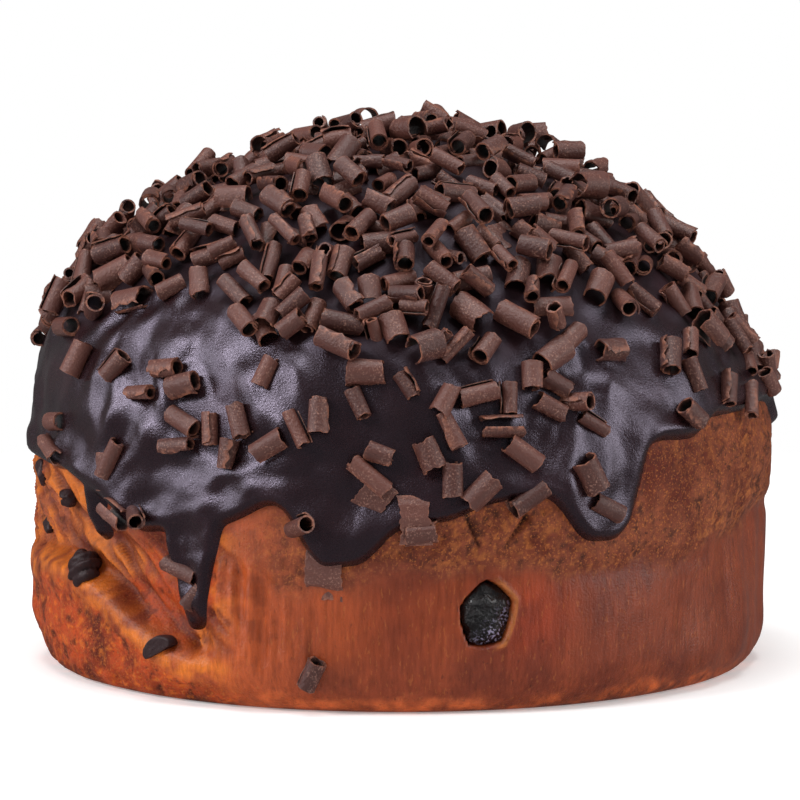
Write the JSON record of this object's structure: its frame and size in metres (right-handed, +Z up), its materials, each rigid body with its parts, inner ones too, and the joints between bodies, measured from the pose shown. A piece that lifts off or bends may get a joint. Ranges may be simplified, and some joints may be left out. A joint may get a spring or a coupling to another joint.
{
  "type": "panettone",
  "caption": "Low round sweet bread with a domed top, coated in dark chocolate glaze that drips down its wall, and strewn with chocolate curls.",
  "frame": {"origin": "centre of the loaf's flat base", "axes": "+Z up, out of the top of the dome; -Y towards the side with the raisin, which the picture shows; +X to the right of it"},
  "size_m": [0.1917, 0.197, 0.14],
  "materials": {
    "crust": "baked crust, satin on the wall and rough at the tear",
    "chocolate": "satin-gloss dark chocolate glaze with matt chocolate curls",
    "dried_fruit": "wet, wrinkled",
    "chocolate_chip": "dull dark chocolate"
  },
  "bodies": {
    "root": {"loaf": "crust", "glaze": "chocolate", "raisin": "dried_fruit", "chip_lump": "chocolate_chip", "chip_foot": "chocolate_chip", "chip_edge": "chocolate_chip", "chip_pointed": "chocolate_chip", "chip_limb": "chocolate_chip"}
  },
  "joints": []
}
